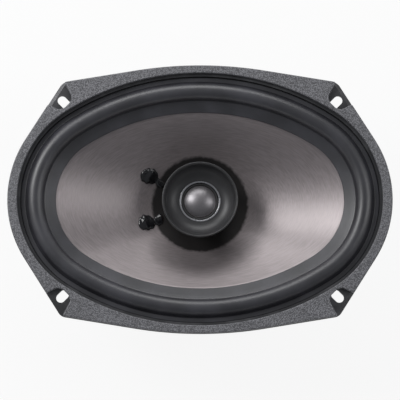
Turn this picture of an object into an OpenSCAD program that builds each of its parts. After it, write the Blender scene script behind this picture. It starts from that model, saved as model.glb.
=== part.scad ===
// Oval two-way coaxial car speaker: a pressed basket, an oval cone on a roll surround, and a
// dome tweeter carried on a post that stands in the bore of the pole.
// Millimetres. +Z points out of the front, +X lies along the long axis of the oval, and z = 0 is
// the rear of the mounting flange, which is the face that lies against the vehicle's panel.

/* [Mounting flange] */
// Length of the flange along X
flange_l = 235; // [200:1:280]
// Width of the flange along Y
flange_w = 165; // [140:1:195]
// Thickness of the pressed sheet
sheet_t = 1.5; // [1:0.1:2.5]
// Radius of the flange's end arcs
flange_end_r = 68; // [60:1:70]
// Radius of the flange's long side arcs
flange_side_r = 245; // [180:1:400]
// Direction of each mounting slot, seen from the centre of the cone oval's end arc
slot_bearing = 59.2; // [50:0.1:66]
// Distance from the visible cone edge out to a slot's centre
slot_offset = 29.2; // [28:0.1:31]
// Width of a mounting slot, for a number 8 screw
slot_w = 5.6; // [4:0.1:6.5]
// Length of a mounting slot, end to end
slot_len = 8.6; // [7:0.1:10]
// Direction that a slot's long axis points in the first quadrant
slot_turn = 45; // [0:5:90]
// Direction square to the ear's outer edge in the first quadrant
ear_bearing = 32.3; // [25:0.1:45]
// Radius of the ear's corner
ear_r = 6; // [3:0.5:10]
// Width of the bevel on the ear's outer edge
ear_bevel = 2.2; // [0.5:0.1:3]

/* [Trim ring] */
// Width of the trim ring at the two ends of the flange
ring_end_w = 6.1; // [4:0.1:10]
// Width of the trim ring at the middle of the long sides
ring_side_w = 5; // [4:0.1:10]
// Thickness of the trim ring
ring_t = 3.5; // [2:0.1:6]
// Width of the ring's pocket over each slot, at its inner shoulders
pocket_w = 11.6; // [10:0.1:14]

/* [Surround] */
// Width of the surround's inner lip, glued on the cone
lip_in_w = 7; // [4:0.5:9]
// Radius of the surround's roll
roll_r = 5.5; // [4:0.1:7]
// Width of the surround's outer lip, glued on the basket
lip_out_w = 3.4; // [2:0.1:5]
// Thickness of the surround
surround_t = 0.8; // [0.5:0.1:1.5]

/* [Cone and voice coil] */
// End radius of the cone oval as a share of its half width
oval_fullness = 0.743; // [0.6:0.001:0.9]
// Depth of the cone from its rim to its neck
cone_depth = 28.5; // [22:0.5:30]
// Thickness of the cone
cone_t = 0.8; // [0.5:0.1:1.5]
// Slope of the cone's rim under the lip
rim_slope = 19; // [5:1:30]
// Outer radius of the voice coil former
former_r = 13.05; // [12:0.05:16]
// Thickness of the voice coil former
former_t = 0.3; // [0.2:0.05:0.5]
// Build-up of the voice coil winding
coil_t = 0.5; // [0.3:0.05:0.8]
// Height of the voice coil winding
coil_h = 12; // [8:0.5:14]
// Radius of the drop of cement over each lead-out of the cone
bead_r = 5; // [3:0.5:6]
// Length of the drop's tail towards the neck
bead_tail = 9; // [6:0.5:10]

/* [Basket and motor] */
// Depth of the basket behind the mounting face
basket_depth = 50; // [48:0.5:65]
// Outer radius of the spider's seat in the basket
seat_r = 52; // [46:0.5:58]
// Outer radius of the basket's tub below the spider
tub_r = 45; // [43:0.5:48]
// Width of one basket arm
arm_w = 14; // [8:0.5:18]
// Height of the turned edges along an arm
arm_edge_h = 3; // [2:0.5:5]
// Radius of the top plate and of the back plate
plate_r = 38; // [35:0.5:42]
// Thickness of the top plate
top_plate_t = 5; // [4:0.5:8]
// Thickness of the back plate
back_plate_t = 5.5; // [4:0.5:8]
// Outer radius of the ring magnet
magnet_r = 42.5; // [40:0.5:55]
// Bore radius of the ring magnet
magnet_bore_r = 20; // [17:0.5:24]
// Thickness of the ring magnet
magnet_t = 15; // [14:0.5:25]
// Thickness of the magnet's rubber boot
boot_t = 1.6; // [1:0.1:3]
// Air gap on each side of the voice coil
coil_gap = 0.4; // [0.3:0.05:0.8]
// Running clearance between pieces that do not move against each other
fit_gap = 0.2; // [0.1:0.05:0.3]
// Gap left for the glue line between a soft part and the piece that it moves
glue_gap = 0.3; // [0.2:0.05:0.5]

/* [Tweeter] */
// Outer radius of the tweeter's rim
tweeter_r = 23.3; // [18:0.1:26]
// Height of the tweeter's rim above the mounting face
tweeter_rim_z = 0; // [-4:0.5:4]
// Depth of the tweeter's flare
flare_depth = 9.5; // [6:0.5:12]
// Radius of the mouth at the bottom of the flare
mouth_r = 12.7; // [12:0.1:14]
// Base radius of the dome
dome_r = 9.6; // [8:0.1:10]
// Rise of the dome
dome_h = 3.4; // [2:0.1:5]
// Radius of the post that carries the tweeter
post_r = 4; // [3.5:0.1:5]
// Bore radius of the post, for the tweeter's leads
post_bore_r = 2.2; // [1.8:0.1:2.5]

/* [Connections] */
// Width of the positive blade
wide_blade_w = 6.35; // [4.8:0.05:6.35]
// Width of the negative blade
narrow_blade_w = 4.75; // [2.8:0.05:4.75]
// Thickness of both blades
blade_t = 0.8; // [0.5:0.1:1]
// Half the spacing of the two blades
blade_y = 8; // [7:0.5:9]
// Length of the crossover capacitor
capacitor_l = 22; // [16:1:26]
// Radius of the crossover capacitor
capacitor_r = 5; // [4:0.5:6]
// Radius of a tweeter lead
lead_r = 0.8; // [0.5:0.1:0.9]

/* [Hidden] */
$fn = 72;

// Offsets outward from the visible edge of the cone, where the surround's inner lip ends.
roll_d = lip_in_w + roll_r;                       // centre of the roll
lip_d = roll_d + roll_r;                          // inner edge of the outer lip
wall_in_d = lip_d + lip_out_w;                    // inner face of the basket's step
wall_d = wall_in_d + fit_gap + sheet_t / 2;       // middle of the basket's step
ring_d = wall_d + sheet_t / 2 + fit_gap;          // inner edge of the trim ring
rim_d = lip_d + sheet_t / 2 - 0.5;                // middle of the wall below the seat
cone_rim_d = lip_in_w - 0.5;                      // outer edge of the cone under the lip

// Four-centre oval of the visible cone edge.
cone_a = flange_l / 2 - ring_end_w - ring_d;
cone_b = flange_w / 2 - ring_side_w - ring_d;
end_r = oval_fullness * cone_b;
end_c = cone_a - end_r;
rise = cone_b - end_r;
side_c = (end_c * end_c - rise * rise) / (2 * rise);
side_r = side_c + cone_b;
join_a = atan2(side_c, end_c);

// Heights.
seat_z = -sheet_t;                                // seat of the surround's outer lip
roll_z = seat_z + surround_t;                     // springing line of the roll
foot_d = lip_in_w + surround_t / 2;               // middle of the surround at the roll's foot
foot_z = roll_z - 0.4 - surround_t / 2;           // and its height there
cone_rim_z = foot_z - (foot_d - cone_rim_d) * tan(rim_slope)
    - surround_t / 2 / cos(rim_slope) - glue_gap; // front of the cone at its outer edge
cone_edge_z = cone_rim_z - cone_rim_d * tan(rim_slope);
neck_z = cone_rim_z - cone_depth;
cone_drop = 1.1 * cone_t;                         // thickness of the cone measured along Z
spider_z = -basket_depth + 10;                    // face of the spider's seat
floor_z = -basket_depth;                          // rear face of the basket's floor
top_plate_z = floor_z - top_plate_t;
magnet_z = top_plate_z - magnet_t;
back_z = magnet_z - back_plate_t;
boot_z = back_z - fit_gap - boot_t;
rim_wall_z = -8;                                  // bottom of the wall below the seat
tub_top_z = spider_z + 4;                         // top of the wall around the spider's seat

// Motor.
neck_r = former_r + 0.1;
pole_r = former_r - former_t - coil_gap;
plate_bore_r = former_r + coil_t + coil_gap;
pole_top_z = floor_z + 1;
coil_mid_z = floor_z - top_plate_t / 2;
former_bottom_z = coil_mid_z - coil_h / 2;
former_top_z = neck_z + 1.5;
rivet_r = 2;
rivet_ring_r = 31;
nut_pocket_h = 5;
nut_pocket_r = 9;

// Tweeter.
mouth_z = tweeter_rim_z - flare_depth;
yoke_top_z = mouth_z - 1.7;
yoke_r = mouth_r + 0.8;
yoke_h = 8.3;
yoke_floor = 2.3;
yoke_bottom_z = yoke_top_z - yoke_h;
shell_r = yoke_r + 4.3;
shell_bore_r = yoke_r + fit_gap;
dome_base_z = yoke_top_z + 0.6;
dome_t = 0.3;
tw_former_r = dome_r - 0.1;
tw_former_t = 0.2;
tw_coil_t = 0.3;
tw_plate_r = tw_former_r - tw_former_t - 0.3;
tw_plate_t = 2.3;
yoke_bore_r = tw_former_r + tw_coil_t + 0.4;
cap_z = yoke_bottom_z - fit_gap;
cap_t = 2.2;
cap_boss_r = 7;
cap_boss_h = 7;
post_top_z = cap_z - cap_t;

// Connections.
tab_x = -seat_r - 16;
tab_in_x = -seat_r + sheet_t;
tab_half_w = 13;
board_t = 1.6;
board_z = tub_top_z;
blade_z = board_z + board_t;
terminal_x = -seat_r - 7.5;
blade_out_x = -seat_r - 26;
hatch_x = -seat_r - 2.5;                          // where the tweeter's leads pass the bracket
eyelets = [[-31.5, 17.5], [-33, -11.5]];           // where the coil's leads pass the cone
eyelet_r = 1.2;

function sgn(v) = v < 0 ? -1 : 1;

// Point of the oval whose outward normal points at angle a, offset outward by d.
function oval_point(a, d) =
    let (c = cos(a), s = sin(a), on_end = atan2(abs(s), abs(c)) <= join_a)
    on_end ? [sgn(c) * end_c + (end_r + d) * c, (end_r + d) * s]
           : [(side_r + d) * c, (side_r + d) * s - sgn(s) * side_c];

// Distance from the centre to the oval, offset by d, in direction a of the first quadrant.
function oval_reach(a, d) =
    let (re = end_r + d, rs = side_r + d,
         e = end_c * cos(a) + sqrt(max(0, re * re - pow(end_c * sin(a), 2))))
    atan2(e * sin(a), e * cos(a) - end_c) <= join_a ? e
        : sqrt(rs * rs - pow(side_c * cos(a), 2)) - side_c * sin(a);

function quadrant(a) = atan2(abs(sin(a)), abs(cos(a)));

// Offset of a bent line by a thickness that runs from t0 to t1 along its normals.
function leg_normal(a, b) = [a.y - b.y, b.x - a.x] / norm(b - a);
function mitre(p, i) =
    let (n1 = i > 0 ? leg_normal(p[i - 1], p[i]) : leg_normal(p[0], p[1]),
         n2 = i < len(p) - 1 ? leg_normal(p[i], p[i + 1]) : n1)
    (n1 + n2) / (1 + n1 * n2);
function strip(p, t0, t1) =
    concat([for (i = [0:len(p) - 1]) p[i] + mitre(p, i) * t1],
           [for (i = [len(p) - 1:-1:0]) p[i] + mitre(p, i) * t0]);

slot_at = [end_c + (end_r + slot_offset) * cos(slot_bearing),
           (end_r + slot_offset) * sin(slot_bearing)];
ear_out = [cos(ear_bearing), sin(ear_bearing)];
ear_along = [-sin(ear_bearing), cos(ear_bearing)];
ear_step = 1.4;                                   // from the slot's centre out to the corner's
ear_run = 7.2;                                    // and along the ear's edge to it
ear_corner = slot_at + ear_step * ear_out + ear_run * ear_along;
ear_edge = ear_step + ear_r;                      // from the slot's centre out to the ear's edge

bevel_slope = 0.6;                                // fall of the ear's bevel per width

// Repeats its children at the four slots, mirrored into each quadrant.
module at_each_ear() {
    for (sx = [0, 1], sy = [0, 1])
        mirror([sx, 0, 0]) mirror([0, sy, 0])
            translate([slot_at.x, slot_at.y, 0]) children();
}

module flange_outline(inset = 0) {
    hull() {
        for (s = [-1, 1]) {
            translate([s * (flange_l / 2 - flange_end_r), 0])
                circle(flange_end_r - inset, $fn = 144);
            intersection() {
                translate([0, s * (flange_w / 2 - flange_side_r)])
                    circle(flange_side_r - inset, $fn = 360);
                translate([-ear_corner.x, s > 0 ? 0 : -flange_w])
                    square([2 * ear_corner.x, flange_w]);
            }
            for (t = [-1, 1])
                translate([s * ear_corner.x, t * ear_corner.y]) circle(ear_r - inset, $fn = 48);
        }
    }
}

module oval_area(d) {
    polygon([for (a = [0:2.5:359]) oval_point(a, d)]);
}

// Carries a profile of (offset, height) once round the oval as four arcs.
module oval_sweep() {
    for (turn = [0, 180]) rotate(turn) {
        translate([end_c, 0, 0]) rotate(-join_a)
            rotate_extrude(angle = 2 * join_a) translate([end_r, 0]) children();
        translate([0, -side_c, 0]) rotate(join_a)
            rotate_extrude(angle = 180 - 2 * join_a) translate([side_r, 0]) children();
    }
}

module slot_area() {
    reach = (slot_len - slot_w) / 2;
    rotate(slot_turn) {
        for (s = [-1, 1]) translate([s * reach, 0]) circle(d = slot_w);
        square([2 * reach, slot_w], center = true);
    }
}

// Pocket over a slot: it covers the slot's inner end and widens towards the flange's edge.
module pocket_area() {
    back = slot_len / 2 - 1.2;                    // the ring covers the slot's last 1.2 mm
    neck = 2 - back;                              // where the pocket reaches its shoulders
    shoulder = pocket_w / 2;
    reach = 3 * pocket_w;                         // carries the pocket past the flange's edge
    flank = 0.27 * reach;                         // widening of each flank over that length
    rotate(slot_turn) polygon([
        [-back, -slot_w / 2], [neck, -shoulder], [neck + reach, -shoulder - flank],
        [neck + reach, shoulder + flank], [neck, shoulder], [-back, slot_w / 2]]);
}

// A thin ring of solid whose closed sections stand round Z, one at each step.
skin_steps = 72;
module closed_skin(sections) {
    steps = len(sections);
    n = len(sections[0]);
    polyhedron([for (s = sections) each s],
        [for (j = [0:steps - 1], i = [0:n - 1])
            let (k = (j + 1) % steps, m = (i + 1) % n)
            each [[n * j + i, n * k + i, n * k + m], [n * j + i, n * k + m, n * j + m]]]);
}

// A ring of solid turned about Z, from r0 to r1 and z0 to z1.
module washer(r0, r1, z0, z1) {
    translate([0, 0, z0]) difference() {
        cylinder(r = r1, h = z1 - z0);
        translate([0, 0, -1]) cylinder(r = r0, h = z1 - z0 + 2);
    }
}

// A round wire of radius r along a route, with 8 sides, and ref kept off its direction.
module wire(route, r, ref = [0, 1, 0]) {
    last = len(route) - 1;
    rings = [for (i = [0:last])
        let (t = route[min(i + 1, last)] - route[max(i - 1, 0)],
             u = cross(t, ref) / norm(cross(t, ref)),
             v = cross(t, u) / norm(cross(t, u)))
        for (k = [0:7]) route[i] + r * (cos(45 * k) * u + sin(45 * k) * v)];
    sides = [for (i = [0:last - 1], k = [0:7])
        [8 * i + k, 8 * i + (k + 1) % 8, 8 * i + 8 + (k + 1) % 8, 8 * i + 8 + k]];
    polyhedron(rings, concat(sides, [[for (k = [7:-1:0]) k]], [[for (k = [0:7]) 8 * last + k]]));
}

// ---- Frame ----

// Places its children at the rivet centres of the top plate.
module at_each_rivet() {
    for (a = [45:90:315]) rotate(a) translate([rivet_ring_r, 0, 0]) children();
}

module basket_arm(a) {
    reach = oval_reach(quadrant(a), rim_d);
    run = [[reach, rim_wall_z + 2], [reach, rim_wall_z - 1],
           [seat_r - sheet_t / 2, tub_top_z + 1], [seat_r - sheet_t / 2, spider_z]];
    rotate(a) rotate([90, 0, 0]) {
        linear_extrude(arm_w, center = true) polygon(strip(run, -sheet_t / 2, sheet_t / 2));
        for (s = [-1, 1]) translate([0, 0, s * (arm_w - sheet_t) / 2])
            linear_extrude(sheet_t, center = true)
                polygon(strip(run, -sheet_t / 2, arm_edge_h));
    }
}

module basket() {
    color("dimgray") difference() {
        union() {
            linear_extrude(sheet_t) difference() {
                flange_outline();
                oval_area(wall_d);
            }
            oval_sweep()
                polygon(strip([[wall_d, sheet_t], [wall_d, seat_z - sheet_t / 2],
                               [rim_d, seat_z - sheet_t / 2], [rim_d, rim_wall_z]],
                              -sheet_t / 2, sheet_t / 2));
            for (a = [22.5:45:359]) basket_arm(a);
            rotate_extrude()
                polygon(strip([[seat_r - sheet_t / 2, tub_top_z],
                               [seat_r - sheet_t / 2, spider_z - sheet_t / 2],
                               [tub_r - sheet_t / 2, spider_z - sheet_t / 2],
                               [tub_r - sheet_t / 2, floor_z + sheet_t / 2],
                               [plate_bore_r + 8, floor_z + sheet_t / 2]],
                              -sheet_t / 2, sheet_t / 2));
            translate([tab_x, -tab_half_w, board_z - sheet_t])
                cube([tab_in_x - tab_x, 2 * tab_half_w, sheet_t]);
        }
        at_each_ear() {
            translate([0, 0, -1]) linear_extrude(sheet_t + 2) slot_area();
            rotate(ear_bearing) translate([ear_edge - ear_bevel, 0, sheet_t])
                rotate([0, atan(bevel_slope), 0]) translate([0, -flange_w / 6, 0])
                    cube([3 * ear_bevel, flange_w / 3, 2 * sheet_t]);
        }
        translate([0, 0, floor_z - 1]) at_each_rivet() cylinder(r = rivet_r, h = sheet_t + 2);
        hatch(board_z - sheet_t - 1, sheet_t + 2);
        at_each_terminal_rivet() translate([0, 0, board_z - sheet_t - 1])
            cylinder(r = terminal_rivet_r, h = sheet_t + 2);
    }
}

module trim_ring() {
    color([0.25, 0.25, 0.27]) translate([0, 0, sheet_t]) linear_extrude(ring_t) difference() {
        flange_outline(0.3);
        oval_area(ring_d);
        at_each_ear() pocket_area();
    }
}

// ---- Cone assembly ----

module surround() {
    mid_r = roll_r - surround_t / 2;
    profile = strip(concat(
        [[0, foot_z - foot_d * tan(rim_slope)], [foot_d, foot_z]],
        [for (u = [180:-30:30]) [roll_d + mid_r * cos(u), roll_z + mid_r * sin(u)]],
        [[lip_d, seat_z + surround_t / 2], [wall_in_d, seat_z + surround_t / 2]]),
        -surround_t / 2, surround_t / 2);
    color([0.12, 0.12, 0.14]) closed_skin([for (j = [0:skin_steps - 1])
        [for (p = profile) let (q = oval_point(360 * j / skin_steps, p.x)) [q.x, q.y, p.y]]]);
}

// Front face of the cone at share t of the way from its visible edge to its neck, towards angle a.
function cone_z(t) = cone_edge_z + (neck_z - cone_edge_z) * (t + 0.25 * t * (1 - t));
function cone_at(a, t) =
    let (p = (1 - t) * oval_point(a, 0) + t * neck_r * [cos(a), sin(a)]) [p.x, p.y, cone_z(t)];
function cone_section(a) =
    let (rim = oval_point(a, cone_rim_d),
         front = concat([[rim.x, rim.y, cone_rim_z]], [for (k = [0:7]) cone_at(a, k / 7)]))
    concat(front, [for (i = [len(front) - 1:-1:0]) front[i] - [0, 0, cone_drop]]);

module cone() {
    color([0.45, 0.43, 0.42])
        closed_skin([for (j = [0:skin_steps - 1]) cone_section(360 * j / skin_steps)]);
}

module voice_coil_former() {
    color("tan") washer(former_r - former_t, former_r, former_bottom_z, former_top_z);
}

module voice_coil() {
    color("chocolate")
        washer(former_r, former_r + coil_t, former_bottom_z, former_bottom_z + coil_h);
}

// Share of the way from the cone's edge to its neck at a point, its height and the slope there.
// It takes the rings between edge and neck as scaled ovals, which holds close to the lead-outs.
function cone_share(p) = let (edge = oval_reach(quadrant(atan2(p.y, p.x)), 0))
    (edge - norm(p)) / (edge - neck_r);
function cone_tilt(p) = let (s = cone_share(p), step = p / norm(p))
    atan((cone_z(cone_share(p + step)) - cone_z(cone_share(p - step))) / 2);

// Places its children on the cone at a lead-out, Z square to the cone and X towards the neck.
module at_eyelet(i) {
    p = eyelets[i];
    translate([p.x, p.y, cone_z(cone_share(p))])
        rotate([0, 0, atan2(-p.y, -p.x)]) rotate([0, cone_tilt(p), 0]) children();
}

module lead_eyelets() {
    color("gold") for (i = [0, 1]) at_eyelet(i) translate([0, 0, -2.6])
        cylinder(r = eyelet_r, h = 3);
}

// A drop of black cement over an eyelet, with a tail running towards the neck.
module lead_glue(i) {
    lift = 0.75;                                  // keeps the drop's flat base off the cone's curve
    color([0.06, 0.06, 0.07]) at_eyelet(i) translate([0, 0, lift]) {
        difference() {
            hull() {
                scale([1, 0.9, 0.35]) sphere(bead_r, $fn = 32);
                translate([bead_tail, 0, 0]) scale([1, 0.8, 0.5]) sphere(0.4 * bead_r, $fn = 24);
            }
            translate([-4 * bead_r, -4 * bead_r, -4 * bead_r]) cube([8, 8, 4] * bead_r);
        }
    }
}

module lead_glue_upper() { lead_glue(0); }
module lead_glue_lower() { lead_glue(1); }

module spider() {
    waves = 7;
    wave_h = 1.1;                                 // half the height of a wave
    half_t = 0.25;                                // half the cloth's thickness
    collar = 2;                                   // flat inner edge, glued to the former
    r0 = former_r + glue_gap;
    r1 = tub_r - sheet_t - 0.8;                   // the waves end short of the tub's lower wall
    z = spider_z + half_t + 0.05;
    steps = waves * 8;
    wave = [for (i = [0:steps]) let (u = i / steps)
        [r0 + collar + (r1 - r0 - collar) * u, z + wave_h * sin(360 * waves * u)]];
    color("goldenrod") rotate_extrude() polygon(
        strip(concat([[r0, z]], wave, [[seat_r - sheet_t - fit_gap, z]]), -half_t, half_t));
}

// Two braided leads that bow between the cone's eyelets and the terminals.
tinsel_r = 0.6;
function tinsel_route(i) =
    let (from = [eyelets[i].x, eyelets[i].y, cone_z(cone_share(eyelets[i])) - 3.7],
         to = [-seat_r - 2.4, (blade_y + 0.5) * sgn(from.y), blade_z + blade_t + tinsel_r + 0.1])
    [for (u = [0:0.125:1])
        from + u * (to - from) + [0, 0, 1.6 * sin(180 * u) * sin(180 * u)]];

module tinsel_leads() {
    color("peru") for (i = [0, 1]) wire(tinsel_route(i), tinsel_r);
}

// ---- Motor ----

module top_plate() {
    color("silver") difference() {
        washer(plate_bore_r, plate_r, top_plate_z, floor_z);
        translate([0, 0, top_plate_z - 1]) at_each_rivet()
            cylinder(r = rivet_r, h = top_plate_t + 2);
    }
}

module magnet() {
    color([0.2, 0.2, 0.21]) washer(magnet_bore_r, magnet_r, magnet_z, top_plate_z);
}

// Back plate and pole in one turned piece, bored for the post and its nut.
module back_plate() {
    color("silver") difference() {
        union() {
            translate([0, 0, back_z]) cylinder(r = plate_r, h = back_plate_t);
            translate([0, 0, back_z]) cylinder(r = pole_r, h = pole_top_z - back_z);
        }
        translate([0, 0, back_z - 1]) cylinder(r = post_r + 0.1, h = pole_top_z - back_z + 2);
        translate([0, 0, back_z - 1]) cylinder(r = nut_pocket_r, h = nut_pocket_h + 1);
    }
}

module magnet_boot() {
    bore = magnet_r + fit_gap;
    color([0.1, 0.1, 0.1]) difference() {
        translate([0, 0, boot_z]) cylinder(r = bore + boot_t, h = top_plate_z - boot_z);
        translate([0, 0, boot_z + boot_t]) cylinder(r = bore, h = top_plate_z - boot_z);
        translate([0, 0, boot_z - 1]) cylinder(r = plate_r - 12, h = boot_t + 2);
        translate([-bore - 2 * boot_t, -lead_path_w / 2, boot_z - 1])
            cube([bore + 2 * boot_t, lead_path_w, boot_t + 1.2]);
        translate([-bore - 2 * boot_t, -lead_path_w / 2, boot_z - 1])
            cube([3 * boot_t, lead_path_w, top_plate_z - boot_z + 2]);
    }
}

module plate_rivets() {
    head_h = 0.6 * rivet_r;
    color("lightgray") at_each_rivet() {
        translate([0, 0, top_plate_z]) cylinder(r = rivet_r, h = top_plate_t + sheet_t);
        translate([0, 0, floor_z + sheet_t])
            cylinder(r1 = 1.8 * rivet_r, r2 = 1.4 * rivet_r, h = head_h);
    }
}

// ---- Tweeter ----

module tweeter_post() {
    thread_z = back_z + 0.5;
    color("silver") difference() {
        union() {
            translate([0, 0, thread_z]) cylinder(r = post_r, h = post_top_z - thread_z);
            translate([0, 0, pole_top_z]) cylinder(r = 2 * post_r, h = 3);
        }
        translate([0, 0, thread_z - 1])
            cylinder(r = post_bore_r, h = post_top_z - thread_z + 2);
    }
}

module post_nut() {
    nut_h = 4;
    color("silver") translate([0, 0, back_z + nut_pocket_h - nut_h]) difference() {
        cylinder(r = 1.85 * post_r, h = nut_h, $fn = 6);
        translate([0, 0, -1]) cylinder(r = post_r + 0.05, h = nut_h + 2);
    }
}

module tweeter_shell() {
    rim_w = 1;
    flare = [for (u = [90:-10:0]) [mouth_r + (tweeter_r - rim_w - mouth_r) * sin(u),
                                   mouth_z + flare_depth * (1 - cos(u))]];
    color([0.15, 0.15, 0.16]) rotate_extrude() polygon(concat(
        [[tweeter_r, tweeter_rim_z]], flare,
        [[mouth_r, mouth_z - 1.4], [shell_bore_r, mouth_z - 1.4], [shell_bore_r, cap_z],
         [shell_r, cap_z], [shell_r, mouth_z - 1.5], [tweeter_r - 2, mouth_z + 4],
         [tweeter_r, tweeter_rim_z - 2]]));
}

module tweeter_back_cap() {
    color([0.12, 0.12, 0.13]) difference() {
        union() {
            translate([0, 0, cap_z - cap_t]) cylinder(r = shell_r, h = cap_t);
            translate([0, 0, cap_z - cap_t - cap_boss_h])
                cylinder(r = cap_boss_r, h = cap_boss_h);
        }
        translate([0, 0, cap_z - cap_t - cap_boss_h - 1])
            cylinder(r = post_r + 0.05, h = cap_boss_h + 1);
        translate([0, 0, cap_z - cap_t - 1]) cylinder(r = post_bore_r, h = cap_t + 2);
    }
}

module tweeter_yoke() {
    color("silver") difference() {
        translate([0, 0, yoke_bottom_z]) cylinder(r = yoke_r, h = yoke_h);
        translate([0, 0, yoke_bottom_z + yoke_floor]) cylinder(r = yoke_bore_r, h = yoke_h);
    }
}

module tweeter_magnet() {
    z0 = yoke_bottom_z + yoke_floor;
    color([0.6, 0.6, 0.63]) translate([0, 0, z0])
        cylinder(r = tw_plate_r - 0.3, h = yoke_top_z - tw_plate_t - z0);
}

module tweeter_pole_plate() {
    color("silver") translate([0, 0, yoke_top_z - tw_plate_t])
        cylinder(r = tw_plate_r, h = tw_plate_t);
}

module tweeter_ring() {
    color("lightgray") washer(mouth_r - 1.8, mouth_r - 0.1, yoke_top_z + 0.2, mouth_z - 0.1);
}

module tweeter_edge() {
    z = yoke_top_z + 0.1;
    color([0.2, 0.2, 0.2]) rotate_extrude()
        polygon(strip([[dome_r + 0.3, z], [dome_r + 0.7, z + 0.5], [dome_r + 1.2, z],
                       [mouth_r - 0.3, z]], -0.1, 0.1));
}

module tweeter_dome() {
    big_r = (dome_r * dome_r + dome_h * dome_h) / (2 * dome_h);
    color([0.35, 0.35, 0.36]) translate([0, 0, dome_base_z]) difference() {
        translate([0, 0, dome_h - big_r]) difference() {
            sphere(big_r);
            sphere(big_r - dome_t);
        }
        translate([-2 * big_r, -2 * big_r, -4 * big_r]) cube(4 * big_r);
    }
}

module tweeter_former() {
    color("tan") washer(tw_former_r - tw_former_t, tw_former_r, dome_base_z - 4.2, dome_base_z);
}

module tweeter_coil() {
    color("chocolate")
        washer(tw_former_r, tw_former_r + tw_coil_t, dome_base_z - 3.6, dome_base_z - 1.6);
}

// ---- Connections ----
terminal_rivet_r = 1.1;
lead_y = 1;
lead_path_w = 2 * lead_y + 2 * lead_r + 0.6;

hatch_half = [2, 3];                              // half length and half width of the hatch

module hatch(z, h) {
    translate([hatch_x - hatch_half.x, -hatch_half.y, z])
        cube([2 * hatch_half.x, 2 * hatch_half.y, h]);
}

module at_each_terminal_rivet() {
    for (s = [-1, 1]) translate([terminal_x, s * blade_y, 0]) children();
}

module terminal_board() {
    color("saddlebrown") difference() {
        translate([tab_x + 1, -tab_half_w, board_z])
            cube([-seat_r - tab_x - 1 - fit_gap, 2 * tab_half_w, board_t]);
        hatch(board_z - 1, board_t + 2);
        at_each_terminal_rivet() translate([0, 0, board_z - 1])
            cylinder(r = terminal_rivet_r, h = board_t + 2);
    }
}

module blade(w) {
    translate([blade_out_x, -w / 2, blade_z]) difference() {
        cube([-blade_out_x + terminal_x + 6, w, blade_t]);
        translate([5, w / 2, -1]) cylinder(d = 1.6, h = blade_t + 2);
        translate([terminal_x - blade_out_x, w / 2, -1])
            cylinder(r = terminal_rivet_r, h = blade_t + 2);
    }
}

module wide_terminal() {
    color("gold") translate([0, blade_y, 0]) blade(wide_blade_w);
}

module narrow_terminal() {
    color("gold") translate([0, -blade_y, 0]) blade(narrow_blade_w);
}

module terminal_rivets() {
    color("silver") at_each_terminal_rivet() {
        translate([0, 0, board_z - sheet_t])
            cylinder(r = terminal_rivet_r, h = sheet_t + board_t + blade_t);
        translate([0, 0, blade_z + blade_t]) cylinder(r1 = 1.9, r2 = 1.4, h = 0.8);
        translate([0, 0, board_z - sheet_t - 0.7]) cylinder(r = 1.8, h = 0.7);
    }
}

capacitor_x = tab_x + 5;
capacitor_z = board_z - sheet_t - capacitor_r - 0.9;
capacitor_lead_r = 0.35;

module capacitor() {
    color("midnightblue") translate([capacitor_x, 0, capacitor_z]) rotate([90, 0, 0])
        cylinder(r = capacitor_r, h = capacitor_l, center = true);
}

module capacitor_leads() {
    end_y = capacitor_l / 2;
    out_y = max(end_y, tab_half_w) + 1.2;
    top_z = blade_z + blade_t + 0.5;
    color("silver") for (s = [-1, 1]) wire([
        for (p = [[0, end_y + 0.05, capacitor_z], [0, out_y - 0.4, capacitor_z],
                  [0, out_y, capacitor_z + 0.6], [0, out_y, top_z - 1],
                  [0, out_y - 0.6, top_z], [0, blade_y + 1.4, top_z]])
            [capacitor_x + p.x, s * p.y, p.z]], capacitor_lead_r, [1, 0, 0]);
}

// Two leads from the tweeter down the post, across the boot's channel and up to the blades.
module tweeter_leads() {
    low_z = boot_z + lead_r + 0.2;
    out_x = -magnet_r - fit_gap - lead_r - 0.3;
    top_z = blade_z + blade_t + lead_r + 0.1;
    color("red") for (s = [-1, 1]) wire([
        for (p = [[0, lead_y, cap_z - 0.5], [0, lead_y, back_z + 3], [-0.4, lead_y, back_z + 1],
                  [-1.4, lead_y, back_z - 0.3], [-3.2, lead_y, low_z], [out_x + 2, lead_y, low_z],
                  [out_x + 0.6, lead_y, low_z + 0.6], [out_x, lead_y, low_z + 2],
                  [out_x, lead_y, floor_z - 6], [out_x - 0.5, lead_y, floor_z - 3],
                  [hatch_x + 0.6, lead_y, spider_z - 5], [hatch_x, lead_y, spider_z - 2.5],
                  [hatch_x, lead_y, blade_z], [hatch_x, lead_y + 0.5, top_z - 0.3],
                  [hatch_x, lead_y + 1.6, top_z], [hatch_x, blade_y - 1.5, top_z]])
            [p.x, s * p.y, p.z]], lead_r, [0.3, 1, 0.2]);
}

basket();
trim_ring();
surround();
cone();
voice_coil_former();
voice_coil();
lead_eyelets();
lead_glue_upper();
lead_glue_lower();
spider();
tinsel_leads();
top_plate();
magnet();
back_plate();
magnet_boot();
plate_rivets();
tweeter_post();
post_nut();
tweeter_shell();
tweeter_back_cap();
tweeter_yoke();
tweeter_magnet();
tweeter_pole_plate();
tweeter_ring();
tweeter_edge();
tweeter_dome();
tweeter_former();
tweeter_coil();
terminal_board();
wide_terminal();
narrow_terminal();
terminal_rivets();
capacitor();
capacitor_leads();
tweeter_leads();
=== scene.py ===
"""Finished look of an oval two-way coaxial car speaker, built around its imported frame.

Shapes are worked out in millimetres and turned into metres where a mesh is made.
"""
import math

import bmesh
import bpy
import numpy as np
from bpy.props import FloatProperty, FloatVectorProperty, PointerProperty
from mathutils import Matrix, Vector
from mathutils.bvhtree import BVHTree
from mathutils.geometry import convex_hull_2d, tessellate_polygon


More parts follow.
